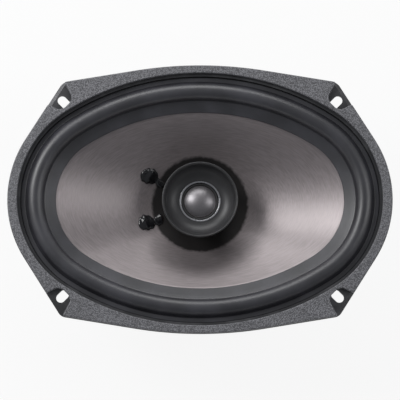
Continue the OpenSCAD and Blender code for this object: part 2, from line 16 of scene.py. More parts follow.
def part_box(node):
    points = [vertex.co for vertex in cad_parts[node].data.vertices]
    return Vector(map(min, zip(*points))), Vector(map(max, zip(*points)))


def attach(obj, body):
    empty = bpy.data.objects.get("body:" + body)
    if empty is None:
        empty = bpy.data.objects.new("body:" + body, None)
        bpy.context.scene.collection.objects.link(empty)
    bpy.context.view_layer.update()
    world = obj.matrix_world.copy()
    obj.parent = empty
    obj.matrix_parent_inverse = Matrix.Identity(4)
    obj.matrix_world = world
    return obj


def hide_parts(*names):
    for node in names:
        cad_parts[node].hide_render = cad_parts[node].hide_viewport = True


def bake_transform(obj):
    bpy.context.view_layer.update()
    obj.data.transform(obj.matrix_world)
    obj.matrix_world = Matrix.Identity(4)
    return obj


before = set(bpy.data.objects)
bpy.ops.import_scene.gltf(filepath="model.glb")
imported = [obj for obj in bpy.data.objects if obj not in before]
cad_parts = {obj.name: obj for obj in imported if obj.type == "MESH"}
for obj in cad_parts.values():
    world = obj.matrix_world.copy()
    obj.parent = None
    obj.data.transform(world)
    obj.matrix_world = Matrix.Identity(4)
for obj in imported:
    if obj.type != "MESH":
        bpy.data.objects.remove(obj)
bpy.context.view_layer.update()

bl_info = {
    "name": "Coaxial speaker",
    "version": (1, 0, 0),
    "blender": (4, 5, 0),
    "location": "3D View > Sidebar > Speaker",
    "description": "Builds and finishes an oval two-way coaxial car speaker around its frame",
    "category": "Object",
}

MM = 0.001


def corners(node):
    """Lowest and highest corner of a node of the frame, in millimetres."""
    low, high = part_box(node)
    return np.array(low) / MM, np.array(high) / MM


BASKET_LOW, BASKET_HIGH = corners("basket")
RING_LOW, RING_HIGH = corners("trim_ring")
TWEETER_LOW, TWEETER_HIGH = corners("tweeter_shell")
CAPACITOR_LOW, CAPACITOR_HIGH = corners("capacitor")
BOOT_LOW = corners("magnet_boot")[0]
BOARD_HIGH = corners("terminal_board")[1]
BLADE_TOP = corners("wide_terminal")[1][2]


def size(name, description, millimetres):
    return FloatProperty(name=name, description=description, default=float(millimetres) * MM,
                         unit="LENGTH", subtype="DISTANCE", precision=4)


def tint(name, description, colour):
    return FloatVectorProperty(name=name, description=description, default=colour,
                               subtype="COLOR", size=3, min=0, max=1)


class SpeakerSizes(bpy.types.PropertyGroup):
    """Sizes of the pieces that are modelled here."""
    flange_length: size("Flange length", "Length of the flange", BASKET_HIGH[0] - BASKET_LOW[0])
    flange_width: size("Flange width", "Width of the flange", BASKET_HIGH[1] - BASKET_LOW[1])
    end_arc: size("End arc", "Radius of the flange's end arcs", 68)
    side_arc: size("Side arc", "Radius of the flange's side arcs", 245)
    cone_half_length: size("Cone half length", "Centre to visible cone edge along the oval", 88.1)
    cone_half_width: size("Cone half width", "Centre to visible cone edge across the oval", 54.2)
    ring_offset: size("Ring offset", "Cone edge to the trim ring's inner edge", 23.3)
    ring_round: size("Ring rounding", "Rounding of the trim ring's front edges", 0.6)
    roll_offset: size("Roll offset", "Cone edge to the crest of the roll", 12.5)
    roll_radius: size("Roll radius", "Radius of the middle of the roll's rubber", 5.1)
    rubber: size("Rubber thickness", "Thickness of the surround", 0.8)
    neck_radius: size("Neck radius", "Radius of the cone's neck", 13.15)
    cone_depth: size("Cone depth", "Depth of the cone from its rim to its neck", 28.5)
    # Radius of the tweeter's shadow, painted dark into the cone's colour round the neck.
    painted_shadow_radius: size("Painted tweeter shadow", "Radius of the tweeter's shadow painted round the neck", 29.6)
    mouth_radius: size("Tweeter mouth", "Radius at the bottom of the tweeter's flare", 12.7)
    dome_radius: size("Dome radius", "Base radius of the dome", 9.6)
    dome_rise: size("Dome rise", "Height of the dome over its base", 3.4)


class SpeakerColours(bpy.types.PropertyGroup):
    """Colours of the finishes."""
    paint: tint("Basket coat", "Coat of the pressed basket", (0.12, 0.12, 0.125))
    ring: tint("Trim ring", "Grained plastic of the trim ring", (0.165, 0.165, 0.178))
    rubber: tint("Surround", "Rubber of the surround", (0.028, 0.028, 0.034))
    cone: tint("Cone", "Metallised skin of the cone", (0.26, 0.232, 0.236))
    # Colour of the tweeter's shadow, painted onto the cone round the neck.
    painted_shadow_colour: tint("Painted tweeter shadow", "Tweeter's shadow painted round the cone's neck", (0.022, 0.020, 0.020))
    cement: tint("Cement", "Cement over the lead-outs", (0.006, 0.006, 0.007))
    dome: tint("Dome", "Metal of the dome", (0.25, 0.24, 0.25))
    steel: tint("Plated steel", "Zinc plating of the plates", (0.60, 0.60, 0.58))
    cloth: tint("Spider cloth", "Resin-dipped cloth of the spider", (0.46, 0.27, 0.09))
    board: tint("Terminal board", "Phenolic board of the terminals", (0.20, 0.085, 0.035))
    sleeve: tint("Capacitor sleeve", "Shrink sleeve of the capacitor", (0.02, 0.035, 0.12))


# ---- Finishes ----

class Wire:
    """A shader socket that takes part in arithmetic like a number."""

    def __init__(self, finish, socket):
        self.finish, self.socket = finish, socket

    def _math(self, operation, first, second):
        return self.finish.node("ShaderNodeMath", {"operation": operation},
                                {0: first, 1: second})

    def __add__(self, other):
        return self._math("ADD", self, other)

    def __sub__(self, other):
        return self._math("SUBTRACT", self, other)

    def __rsub__(self, other):
        return self._math("SUBTRACT", other, self)

    def __mul__(self, other):
        return self._math("MULTIPLY", self, other)

    __radd__ = __add__
    __rmul__ = __mul__

    def over(self, other):
        return self._math("MAXIMUM", self, other)


class Finish:
    """One material: a principled surface and the nodes that vary it."""

    def __init__(self, name, constants):
        self.material = bpy.data.materials.new(name)
        self.material.use_nodes = True
        self.tree = self.material.node_tree
        self.tree.nodes.clear()
        self.shader = self.tree.nodes.new("ShaderNodeBsdfPrincipled")
        self.output = self.tree.nodes.new("ShaderNodeOutputMaterial")
        self.tree.links.new(self.shader.outputs[0], self.output.inputs["Surface"])
        self.surface(constants)

    def feed(self, socket, value):
        if isinstance(value, Wire):
            self.tree.links.new(value.socket, socket)
        else:
            socket.default_value = value

    def node(self, kind, settings, inputs, output=0):
        made = self.tree.nodes.new(kind)
        for key, value in settings.items():
            setattr(made, key, value)
        for key, value in inputs.items():
            self.feed(made.inputs[key], value)
        return Wire(self, made.outputs[output])

    def surface(self, values):
        for socket, value in values.items():
            self.feed(self.shader.inputs[socket], value)
        return self.material

    def vector(self, operation, first, second=(0, 0, 0), output=0):
        return self.node("ShaderNodeVectorMath", {"operation": operation},
                         {0: first, 1: second}, output)

    def place(self, stretch=(1, 1, 1)):
        """Position on the piece in millimetres, stretched."""
        where = self.node("ShaderNodeTexCoord", {}, {}, 3)
        return self.vector("MULTIPLY", where, [s / MM for s in stretch])

    def axes(self, vector):
        return [self.node("ShaderNodeSeparateXYZ", {}, {0: vector}, i) for i in range(3)]

    def noise(self, per_mm, detail=3.0, stretch=(1, 1, 1), at=None):
        return self.node("ShaderNodeTexNoise", {},
                         {"Vector": at or self.place(stretch), "Scale": per_mm, "Detail": detail})

    def cells(self, per_mm, smoothness=0.4):
        return self.node("ShaderNodeTexVoronoi", {"feature": "SMOOTH_F1"},
                         {"Vector": self.place(), "Scale": per_mm, "Smoothness": smoothness})

    def bands(self, along, period, distortion=0.0):
        return self.node("ShaderNodeTexWave", {"bands_direction": along},
                         {"Vector": self.place(), "Scale": 0.314 / period,
                          "Distortion": distortion}, 1)

    def span(self, value, start, end):
        """0 where value is under start, 1 over end, and smooth between."""
        return self.node("ShaderNodeMapRange", {"interpolation_type": "SMOOTHSTEP"},
                         {"Value": value, "From Min": start, "From Max": end})

    def blend(self, share, colour, other):
        return self.node("ShaderNodeMix", {"data_type": "RGBA"},
                         {0: share, 6: rgba(colour), 7: rgba(other)}, 2)

    def bump(self, height, depth):
        """Relief whose full height is a depth in millimetres."""
        return self.node("ShaderNodeBump", {}, {"Distance": depth * MM, "Height": height})


def rgba(colour):
    return colour if isinstance(colour, Wire) else (*colour[:3], 1.0)


def scaled(colour, factor):
    return tuple(min(1.0, part * factor) for part in colour)


def moulded_finish(name, colour, metal, rough, spread, per_mm, depth, stretch=(1, 1, 1),
                   contrast=0.25):
    """An even finish: grain of one size in its colour, its roughness and its relief."""
    finish = Finish(name, {"Metallic": metal})
    grain = finish.noise(per_mm, 4.0, stretch)
    cloud = finish.noise(0.06, 2.0)
    shade = finish.span(grain * 0.6 + cloud * 0.4, 0.3, 0.7)
    return finish.surface({
        "Base Color": finish.blend(shade, scaled(colour, 1 - contrast),
                                   scaled(colour, 1 + contrast)),
        "Roughness": rough + spread * (cloud * 0.5 + grain * 0.5 - 0.5),
        "Normal": finish.bump(grain, depth)})


def ring_grain(colours):
    """Pebble-grained plastic: rounded grains about a millimetre across, paler on their tops."""
    finish = Finish("ring_grain", {"Specular IOR Level": 0.5})
    pebbles = 1 - finish.cells(1.6)
    fine = finish.noise(4.5, 3.0)
    cloud = finish.noise(0.05, 2.0)
    height = pebbles * 0.75 + fine * 0.35
    share = finish.span(height + cloud * 0.15, 0.45, 0.95)
    return finish.surface({
        "Base Color": finish.blend(share, scaled(colours.ring, 0.5), scaled(colours.ring, 1.6)),
        "Roughness": 0.36 + 0.2 * fine,
        "Normal": finish.bump(height, 0.22)})


def cone_skin(colours, sizes):
    """Metallised cone: fine streaks run round the oval, and the tweeter's shadow is painted dark
    round the neck.
    """
    finish = Finish("cone_skin", {"Metallic": 0.55})
    share = sizes.cone_half_length / sizes.cone_half_width
    round_at = finish.place((1, share, 0))
    radius = finish.vector("LENGTH", round_at, output=1)
    across, along, _ = finish.axes(finish.vector("NORMALIZE", round_at))
    ring_at = finish.node("ShaderNodeCombineXYZ", {}, {0: radius * 1.5, 1: across * 9, 2: along * 9})
    streaks = finish.noise(1.0, 6.0, at=ring_at)
    cloud = finish.noise(0.04, 3.0)
    # Painted shadow: inside a ragged, soft-edged radius round the neck, the cone's colour turns dark
    # and stands in for the tweeter's shadow.
    distance = finish.vector("LENGTH", finish.place((1, 1, 0)), output=1)
    edge, raggedness, fade = sizes.painted_shadow_radius / MM, 2.2, 2.4
    clear = finish.span(distance + raggedness * finish.noise(0.35, 3.0), edge, edge + fade)
    skin = finish.blend(finish.span(streaks * 0.8 + cloud * 0.2, 0.32, 0.68),
                        scaled(colours.cone, 0.88), scaled(colours.cone, 1.12))
    return finish.surface({
        "Base Color": finish.blend(clear, colours.painted_shadow_colour, skin),
        "Roughness": 0.40 + 0.12 * (streaks - 0.5) + 0.12 * (1 - clear),
        "Normal": finish.bump(streaks, 0.02)})


def surround_rubber(colours):
    """Satin rubber with a fine skin and a faint bloom."""
    finish = Finish("surround_rubber", {"Specular IOR Level": 0.8})
    skin = finish.noise(2.4, 4.0)
    bloom = finish.noise(0.05, 4.0)
    return finish.surface({
        "Base Color": finish.blend(finish.span(bloom, 0.35, 0.75), scaled(colours.rubber, 0.8),
                                   scaled(colours.rubber, 1.5)),
        "Roughness": 0.33 + 0.10 * bloom + 0.06 * skin,
        "Normal": finish.bump(skin, 0.02)})


def spider_cloth(colours):
    """Open plain weave stiffened with resin."""
    finish = Finish("spider_cloth", {"Sheen Weight": 0.2})
    weave = finish.bands("X", 0.75, 0.4).over(finish.bands("Y", 0.75, 0.4))
    resin = finish.noise(0.12, 4.0)
    return finish.surface({
        "Base Color": finish.blend(finish.span(weave * 0.7 + resin * 0.4, 0.2, 0.95),
                                   scaled(colours.cloth, 0.35), scaled(colours.cloth, 1.2)),
        "Roughness": 0.62 + 0.25 * resin,
        "Normal": finish.bump(weave, 0.12)})


def basket_coat(colours):
    """Dark satin coat over pressed steel, with orange peel and paler rubbed patches."""
    finish = Finish("basket_coat", {"Metallic": 0.85})
    peel = finish.noise(0.9, 3.0)
    rubbed = finish.noise(0.07, 5.0)
    return finish.surface({
        "Base Color": finish.blend(finish.span(rubbed, 0.4, 0.75), scaled(colours.paint, 0.75),
                                   scaled(colours.paint, 1.35)),
        "Roughness": 0.27 + 0.12 * rubbed + 0.04 * peel,
        "Normal": finish.bump(peel, 0.012)})


def coil_wire():
    """Enamelled winding, one turn every third of a millimetre."""
    finish = Finish("coil_wire", {"Metallic": 0.85, "Coat Weight": 0.4})
    turns = finish.bands("Z", 0.33)
    return finish.surface({
        "Base Color": finish.blend(turns, (0.20, 0.05, 0.02), (0.62, 0.22, 0.08)),
        "Roughness": 0.26 + 0.2 * (1 - turns),
        "Normal": finish.bump(turns, 0.08)})


def turned_steel(name, colour):
    """Plated steel with the rings that the lathe left."""
    finish = Finish(name, {"Metallic": 1.0})
    radius = finish.vector("LENGTH", finish.place((1, 1, 0)), output=1)
    rings = finish.noise(2.2, 2.0, at=finish.node("ShaderNodeCombineXYZ", {}, {0: radius}))
    spots = finish.noise(0.15, 5.0)
    return finish.surface({
        "Base Color": finish.blend(finish.span(rings * 0.5 + spots * 0.5, 0.35, 0.65),
                                   scaled(colour, 0.78), scaled(colour, 1.12)),
        "Roughness": 0.24 + 0.22 * spots,
        "Normal": finish.bump(rings, 0.02)})


def cement_gloss(colours):
    """Glossy black cement, slightly wavy where it sank while drying."""
    finish = Finish("cement_gloss", {"Specular IOR Level": 0.6})
    sag = finish.noise(0.5, 2.0)
    return finish.surface({
        "Base Color": finish.blend(sag, colours.cement, scaled(colours.cement, 2.2)),
        "Roughness": 0.05 + 0.07 * sag,
        "Normal": finish.bump(sag, 0.25)})


def dress(material, *nodes):
    """Gives CAD nodes a finish."""
    for name in nodes:
        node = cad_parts[name]
        if not node.material_slots:
            node.data.materials.append(material)
        for slot in node.material_slots:
            slot.material = material


# ---- Shapes ----

OVAL_POINTS = 480
DISC_TURNS = 144
SHARP_ANGLE = math.radians(35)


class Oval:
    """Four-arc oval of the cone's visible edge. Offsets run outward from it."""

    def __init__(self, sizes, fullness=0.743):
        half_length, half_width = sizes.cone_half_length / MM, sizes.cone_half_width / MM
        self.end_r = fullness * half_width
        self.end_c = half_length - self.end_r
        rise = half_width - self.end_r
        self.side_c = (self.end_c ** 2 - rise ** 2) / (2 * rise)
        self.side_r = self.side_c + half_width
        self.join = math.atan2(self.side_c, self.end_c)

    def at(self, angle, offset):
        c, s = np.cos(angle), np.sin(angle)
        on_end = np.arctan2(np.abs(s), np.abs(c)) <= self.join
        end = np.stack([np.sign(c) * self.end_c + (self.end_r + offset) * c,
                        (self.end_r + offset) * s], -1)
        side = np.stack([(self.side_r + offset) * c,
                         (self.side_r + offset) * s - np.sign(s) * self.side_c], -1)
        return np.where(on_end[..., None], end, side)

    def stations(self, count):
        """Angles of points that stand evenly along the oval."""
        fine = np.linspace(0, 2 * math.pi, 7201)
        points = self.at(fine, 10.0)
        run = np.concatenate([[0], np.cumsum(np.linalg.norm(np.diff(points, axis=0), axis=1))])
        return np.interp(np.arange(count) * run[-1] / count, run, fine)


def even_loop(points, step):
    """The closed loop through points, as points one step apart."""
    points = np.asarray(points, float)
    closed = np.vstack([points, points[:1]])
    run = np.concatenate([[0], np.cumsum(np.linalg.norm(np.diff(closed, axis=0), axis=1))])
    count = int(run[-1] / step)
    at = np.arange(count) * run[-1] / count
    return np.stack([np.interp(at, run, closed[:, k]) for k in range(points.shape[1])], -1)


def eased_loop(points, passes):
    for _ in range(passes):
        points = 0.5 * points + 0.25 * (np.roll(points, 1, 0) + np.roll(points, -1, 0))
    return points


def loop_normals(points):
    """Outward normals of a counter-clockwise loop in the plane."""
    along = np.roll(points, -1, 0) - np.roll(points, 1, 0)
    out = np.stack([along[:, 1], -along[:, 0]], -1)
    return out / np.linalg.norm(out, axis=1)[:, None]


def rounded(points, radius, closed=True, steps=5):
    """A path of (r, z) points with its corners rounded."""
    points = [np.array(p, float) for p in points]
    last = len(points) - 1
    path = []
    for i, corner in enumerate(points):
        if not closed and i in (0, last):
            path.append(corner)
            continue
        before, after = points[i - 1] - corner, points[(i + 1) % (last + 1)] - corner
        long_a, long_b = np.linalg.norm(before), np.linalg.norm(after)
        half = 0.5 * math.acos(np.clip(before @ after / (long_a * long_b), -1, 1))
        if half > 1.5:
            path.append(corner)
            continue
        cut = min(radius / math.tan(half), 0.45 * long_a, 0.45 * long_b)
        start, end = corner + before / long_a * cut, corner + after / long_b * cut
        for t in np.linspace(0, 1, steps + 1):
            path.append((1 - t) ** 2 * start + 2 * t * (1 - t) * corner + t * t * end)
    return path


def thickened(path, above, below):
    """A closed section round an open path of (d, z) points, with rounded ends."""
    path = np.array(path, float)
    along = np.gradient(path, axis=0)
    normal = np.stack([-along[:, 1], along[:, 0]], -1)
    normal /= np.linalg.norm(normal, axis=1)[:, None]
    above, below = np.broadcast_to(above, len(path)), np.broadcast_to(below, len(path))
    top = path + normal * above[:, None]
    low = path - normal * below[:, None]
    nose = path[-1] + np.array([[0.7, 0.7], [1.0, 0.0], [0.7, -0.7]]) * above[-1] * 0.8
    tail = path[0] + np.array([[-0.7, -0.7], [-1.0, 0.0], [-0.7, 0.7]]) * above[0] * 0.8
    return np.vstack([top, nose, low[::-1], tail])


def solid(name, vertices, faces):
    """A mesh object from points in millimetres, smooth but for edges over the sharp angle."""
    mesh = bpy.data.meshes.new(name)
    mesh.from_pydata((np.asarray(vertices) * MM).tolist(), [], [list(map(int, f)) for f in faces])
    shape = bmesh.new()
    shape.from_mesh(mesh)
    bmesh.ops.recalc_face_normals(shape, faces=shape.faces)
    shape.to_mesh(mesh)
    shape.free()
    mesh.shade_smooth()
    mesh.set_sharp_from_angle(angle=SHARP_ANGLE)
    piece = bpy.data.objects.new(name, mesh)
    bpy.context.scene.collection.objects.link(piece)
    return piece


def quads(rows, columns, closed_rows, start=0):
    """Faces of a grid of points in which each row is a ring, and the rows may close too."""
    index = start + np.arange(rows * columns).reshape(rows, columns)
    below = np.roll(index, -1, 0) if closed_rows else index[1:]
    index = index if closed_rows else index[:-1]
    right, below_right = np.roll(index, -1, 1), np.roll(below, -1, 1)
    return np.stack([index, right, below_right, below], -1).reshape(-1, 4).tolist()


def skin(name, rows, closed=True):
    """A mesh through rows of points, each row a ring; an open one gets its two ends closed."""
    rows = np.asarray(rows, float)
    count, columns = rows.shape[:2]
    faces = quads(count, columns, closed)
    if not closed:
        faces += [list(range(columns)), list(range((count - 1) * columns, count * columns))]
    return solid(name, rows.reshape(-1, 3), faces)


def lathe(name, profile, turns):
    """Turns a closed profile of (r, z) points about Z."""
    angle = np.arange(turns) * 2 * math.pi / turns
    ring = np.stack([np.cos(angle), np.sin(angle)], -1)
    rows = [np.column_stack([r * ring, np.full(turns, z)]) for r, z in profile]
    return skin(name, rows)


def swept(name, oval, section):
    """Carries a section of (offset, z) points round the oval."""
    angle = oval.stations(OVAL_POINTS)
    rows = [np.column_stack([oval.at(angle, d), np.full(OVAL_POINTS, z)]) for d, z in section]
    return skin(name, rows)


def flowing(points, per_span):
    """A smooth route through points."""
    points = np.asarray(points, float)
    padded = np.vstack([2 * points[0] - points[1], points, 2 * points[-1] - points[-2]])
    route = []
    for a, b, c, d in zip(padded, padded[1:], padded[2:], padded[3:]):
        for t in np.arange(per_span) / per_span:
            route.append(0.5 * (2 * b + (c - a) * t + (2 * a - 5 * b + 4 * c - d) * t ** 2
                                + (3 * b - a - 3 * c + d) * t ** 3))
    return np.array(route + [points[-1]])


def tube(name, route, radius, sides=12, relief=None):
    """A round wire along a route; relief(angle, run) scales its radius."""
    route = np.asarray(route, float)
    along = np.gradient(route, axis=0)
    along /= np.linalg.norm(along, axis=1)[:, None]
    run = np.concatenate([[0], np.cumsum(np.linalg.norm(np.diff(route, axis=0), axis=1))])
    side = np.cross(along[0], (0.3, 1.0, 0.2))
    angle = np.arange(sides) * 2 * math.pi / sides
    rows = []
    for point, ahead, length in zip(route, along, run):
        side = side - ahead * (side @ ahead)
        side /= np.linalg.norm(side)
        other = np.cross(ahead, side)
        reach = radius * (relief(angle, length) if relief else np.ones(sides))
        rows.append(point + reach[:, None] * (np.cos(angle)[:, None] * side
                                              + np.sin(angle)[:, None] * other))
    return skin(name, rows, False)


def placed(piece, body, material, slot, *stands_for):
    """Finishes a rigid piece and lets it ride on its body."""
    piece.data.materials.append(material)
    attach(piece, body)
    if stands_for:
        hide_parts(*stands_for)
    return piece


def flexing(piece, share, material, stands_for):
    """Finishes a soft piece, bakes its placement and hides the node it stands for; the share of each
    point, from 0 to 1, is eased and then left unused.
    """
    piece.data.materials.append(material)
    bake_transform(piece)
    share = np.clip(share, 0, 1)
    (share * share * (3 - 2 * share)).astype(np.float32)
    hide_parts(stands_for)
    return piece


# ---- The flange and the trim ring ----

SLOT_BEARING, SLOT_OFFSET, SLOT_TURN = math.radians(59.2), 29.2, math.radians(45)
EAR_BEARING, EAR_RADIUS, EAR_STEP, EAR_RUN = math.radians(32.3), 6.0, 1.4, 7.2
SLOT_BACK, POCKET_NECK, POCKET_SHOULDER, SLOT_HALF, POCKET_FLARE = 3.1, -1.1, 5.8, 2.8, 0.27
ON_AXIS = 1e-6


def bearings(points):
    """Directions of points from the middle, counter-clockwise from the long axis."""
    return np.arctan2(points[:, 1], points[:, 0])


def slot_centre(oval):
    reach = oval.end_r + SLOT_OFFSET
    return np.array([oval.end_c + reach * math.cos(SLOT_BEARING), reach * math.sin(SLOT_BEARING)])


def flange_quarter(sizes, oval, inset):
    """The flange's outline in the first quadrant, from the long axis round to the short one."""
    out = np.array([math.cos(EAR_BEARING), math.sin(EAR_BEARING)])
    corner = slot_centre(oval) + EAR_STEP * out + EAR_RUN * np.array([-out[1], out[0]])
    end_c = (sizes.flange_length / 2 - sizes.end_arc) / MM
    side_c = (sizes.flange_width / 2 - sizes.side_arc) / MM
    turn = np.radians(np.arange(0, 360, 0.5))
    circle = np.stack([np.cos(turn), np.sin(turn)], -1)
    end = circle * (sizes.end_arc / MM - inset) + (end_c, 0)
    swing = np.radians(np.arange(-25, 25, 0.1))
    arc = np.stack([np.sin(swing), np.cos(swing)], -1)
    side = arc * (sizes.side_arc / MM - inset) + (0, side_c)
    side = side[np.abs(side[:, 0]) <= corner[0]]
    ear = circle * (EAR_RADIUS - inset) + corner
    quarter = np.vstack([end, side, ear])
    cloud = np.vstack([quarter, quarter * (-1, 1), quarter * (1, -1), -quarter])
    hull = cloud[convex_hull_2d([tuple(p) for p in cloud])]
    hull = even_loop(hull[np.argsort(bearings(hull))], 0.4)
    hull = hull[np.argsort(bearings(hull))]
    inside = (bearings(hull) > ON_AXIS) & (bearings(hull) < math.pi / 2 - ON_AXIS)
    return hull[inside]


def ring_outline(sizes, oval):
    """Outer edge of the trim ring with its four pockets, counter-clockwise."""
    quarter = flange_quarter(sizes, oval, 0.3)
    axis = np.array([math.cos(SLOT_TURN), math.sin(SLOT_TURN)])
    across = np.array([-axis[1], axis[0]])
    centre = slot_centre(oval)
    forward, sideways = (quarter - centre) @ axis, (quarter - centre) @ across
    flank = POCKET_SHOULDER + POCKET_FLARE * (forward - POCKET_NECK)
    cut = (np.abs(sideways) < flank) & (forward > -SLOT_BACK)
    first, last = np.flatnonzero(cut)[[0, -1]]
    notch = [(POCKET_NECK, -POCKET_SHOULDER), (-SLOT_BACK, -SLOT_HALF),
             (-SLOT_BACK, SLOT_HALF), (POCKET_NECK, POCKET_SHOULDER)]
    notch = np.array([centre + f * axis + s * across for f, s in notch])
    quarter = np.vstack([quarter[:first], notch, quarter[last + 1:]])
    loop = np.vstack([quarter, quarter[::-1] * (-1, 1), -quarter, quarter[::-1] * (1, -1)])
    return eased_loop(even_loop(loop, 0.45), 5)


def trim_ring(sizes, oval):
    """The ring as two rounded walls joined by a flat front and back."""
    low, high = RING_LOW[2], RING_HIGH[2]
    rim, back_edge, land = sizes.ring_round / MM, 0.25, 0.12
    turns = np.radians(np.linspace(0, 90, 6))
    wall = [(back_edge, low), (0.0, low + back_edge), (0.0, high - rim)]
    wall += [(rim * (1 - math.cos(u)), high - rim + rim * math.sin(u)) for u in turns[1:]]
    wall += [(rim + land, high)]
    outer = ring_outline(sizes, oval)
    normal = loop_normals(outer)
    angle = oval.stations(OVAL_POINTS)
    inner_at = sizes.ring_offset / MM
    outer_rows = [np.column_stack([outer - normal * inset, np.full(len(outer), z)])
                  for inset, z in wall]
    inner_rows = [np.column_stack([oval.at(angle, inner_at + inset), np.full(len(angle), z)])
                  for inset, z in wall]
    vertices = np.vstack(outer_rows + inner_rows)
    n, m, k = len(outer), len(angle), len(wall)
    faces = quads(k, n, False) + quads(k, m, False, start=k * n)
    for row in (0, k - 1):
        rings = [outer_rows[row], inner_rows[row]]
        where = list(range(row * n, row * n + n)) + list(range(k * n + row * m, k * n + row * m + m))
        faces += [[where[i] for i in triangle] for triangle in
                  tessellate_polygon([[Vector(p) for p in ring] for ring in rings])]
    return solid("trim_ring_moulding", vertices, faces)


# ---- The cone assembly ----

RIM_ANGLE = math.radians(19)
RIM_SLOPE = math.tan(RIM_ANGLE)
LIP_HALF, LIP_GLUE = 0.4, 0.3
FOOT = (7.4, -1.5)
SEAT_MIDDLE_Z = -1.1
ROLL_Z = -0.7
LIP_OUTER = 18.0
SEAT_OUTER = 21.4
CONE_RIM_D = 6.5
CONE_RIM_Z = FOOT[1] - (FOOT[0] - CONE_RIM_D) * RIM_SLOPE - LIP_HALF / math.cos(RIM_ANGLE) - LIP_GLUE
CONE_EDGE_Z = CONE_RIM_Z - CONE_RIM_D * RIM_SLOPE
CONE_DROP = 0.88
EYELETS = ((-31.5, 17.5), (-33.0, -11.5))
SOLDER_X, SOLDER_Y = -54.4, 8.5
SPIDER_Z = -39.7


def cone_height(share, sizes):
    neck = CONE_RIM_Z - sizes.cone_depth / MM
    return CONE_EDGE_Z + (neck - CONE_EDGE_Z) * (share + 0.25 * share * (1 - share))


def cone_shell(sizes, oval):
    """The cone: its rim under the surround, then an oval that turns into the round neck."""
    angle = oval.stations(OVAL_POINTS)
    neck = sizes.neck_radius / MM * np.stack([np.cos(angle), np.sin(angle)], -1)
    rim = [(oval.at(angle, d), CONE_RIM_Z - (CONE_RIM_D - d) * RIM_SLOPE)
           for d in (CONE_RIM_D, CONE_RIM_D / 2)]
    bowl = [((1 - t) * oval.at(angle, 0) + t * neck, cone_height(t, sizes))
            for t in np.linspace(0, 1, 44)]
    front = [np.column_stack([p, np.full(OVAL_POINTS, z)]) for p, z in rim + bowl]
    back = [row - (0, 0, CONE_DROP) for row in front[::-1]]
    return skin("cone_shell", front + back)


def surround_section(sizes):
    middle, radius = sizes.roll_offset / MM, sizes.roll_radius / MM
    tip, bend = 0.35, 2.5
    lip = [(tip, FOOT[1] - (FOOT[0] - tip) * RIM_SLOPE), (FOOT[0] - bend, FOOT[1] - bend * RIM_SLOPE)]
    roll = [(middle + radius * math.cos(u), ROLL_Z + radius * math.sin(u))
            for u in np.radians(np.arange(172, 7, -6))]
    seat = [(LIP_OUTER + 0.4, SEAT_MIDDLE_Z), (SEAT_OUTER - 0.35, SEAT_MIDDLE_Z)]
    path = rounded([lip[0], lip[1], (FOOT[0] - 0.1, FOOT[1] + 0.05), *roll, *seat], 0.7, False, 4)
    path = np.array(path)
    run = np.concatenate([[0], np.cumsum(np.linalg.norm(np.diff(path, axis=0), axis=1))])
    fine = np.linspace(0, run[-1], 72)
    path = np.stack([np.interp(fine, run, path[:, k]) for k in (0, 1)], -1)
    half = sizes.rubber / MM / 2
    glue_depth, glue_end, glue_fade = 0.26, 6.4, 0.8
    glue = glue_depth * np.clip((glue_end - path[:, 0]) / glue_fade, 0, 1)
    return thickened(path, half, half + glue)


def surround_skin(sizes, oval):
    section = surround_section(sizes)
    piece = swept("surround_rubber_ring", oval, section)
    share = (LIP_OUTER - section[:, 0]) / (LIP_OUTER - FOOT[0])
    return piece, np.repeat(share, OVAL_POINTS)


def spider_disc():
    """The corrugated cloth disc from the former to its seat."""
    inner, first, last, outer = 13.35, 15.35, 42.7, 50.3
    waves, wave_height, half = 7, 1.1, 0.25
    radius = np.concatenate([[inner], np.linspace(first, last, waves * 12 + 1),
                             np.linspace(last, outer, 6)[1:]])
    swing = np.clip((radius - first) / (last - first), 0, 1)
    height = SPIDER_Z + wave_height * np.sin(2 * math.pi * waves * swing)
    section = thickened(np.stack([radius, height], -1), half, half)
    piece = lathe("spider_disc", section, DISC_TURNS)
    return piece, np.repeat((last - section[:, 0]) / (last - first), DISC_TURNS)


HEAD_REACH, LOBE_REACH, TAIL_REACH = 5.2, 3.0, 2.42
LOBE_AT, TAIL_AT = 8.0, 8.6


def arch(s, centre, reach):
    """Half round over a centre: 1 in the middle and 0 from one reach away."""
    return math.sqrt(max(0, 1 - ((s - centre) / reach) ** 2))


def merged(*parts):
    """One size from those of parts that run into each other."""
    return sum(part ** 4 for part in parts) ** 0.25


def glue_bead(name, cone, eyelet, second_lobe, phase):
    """A drop of cement that lies on the cone, with a tail towards the neck."""
    start = np.array(eyelet)
    inward = -start / np.linalg.norm(start)
    sideways = np.array([-inward[1], inward[0]])
    surface = BVHTree.FromPolygons([v.co for v in cone.data.vertices],
                                   [list(p.vertices) for p in cone.data.polygons])

    def ground(x, y):
        hit = surface.ray_cast(Vector((x * MM, y * MM, 0.05)), Vector((0, 0, -1)))[0]
        return hit.z / MM

    rows = []
    turn = np.arange(32) * 2 * math.pi / 32
    stretch, middle, under, sunk = 1.56, 2.9, 0.45, 0.12
    for s in -HEAD_REACH * np.cos(np.linspace(0, math.pi, 49)) * stretch + middle:
        head = arch(s, 0, HEAD_REACH)
        tail = arch(max(s, TAIL_AT), TAIL_AT, TAIL_REACH) if s > 0 else 0
        lobe = arch(s, LOBE_AT, LOBE_REACH) * second_lobe
        width = merged(5.0 * head, 2.0 * tail, 3.4 * lobe) + 0.02
        height = merged(2.3 * head, 1.0 * tail, 1.6 * lobe) + 0.01
        height *= 1 + 0.16 * math.sin(1.1 * s + phase)
        drift = 0.55 * math.sin(0.45 * s + phase)
        across = drift + width * np.cos(turn) * (1 + 0.07 * math.sin(1.9 * s + phase))
        lift = np.where(np.sin(turn) > 0, height * np.sin(turn), under * np.sin(turn))
        row = []
        for y, z in zip(across, lift):
            p = start + s * inward + y * sideways
            row.append((p[0], p[1], ground(*p) + z - sunk))
        rows.append(row)
    return skin(name, rows, False)


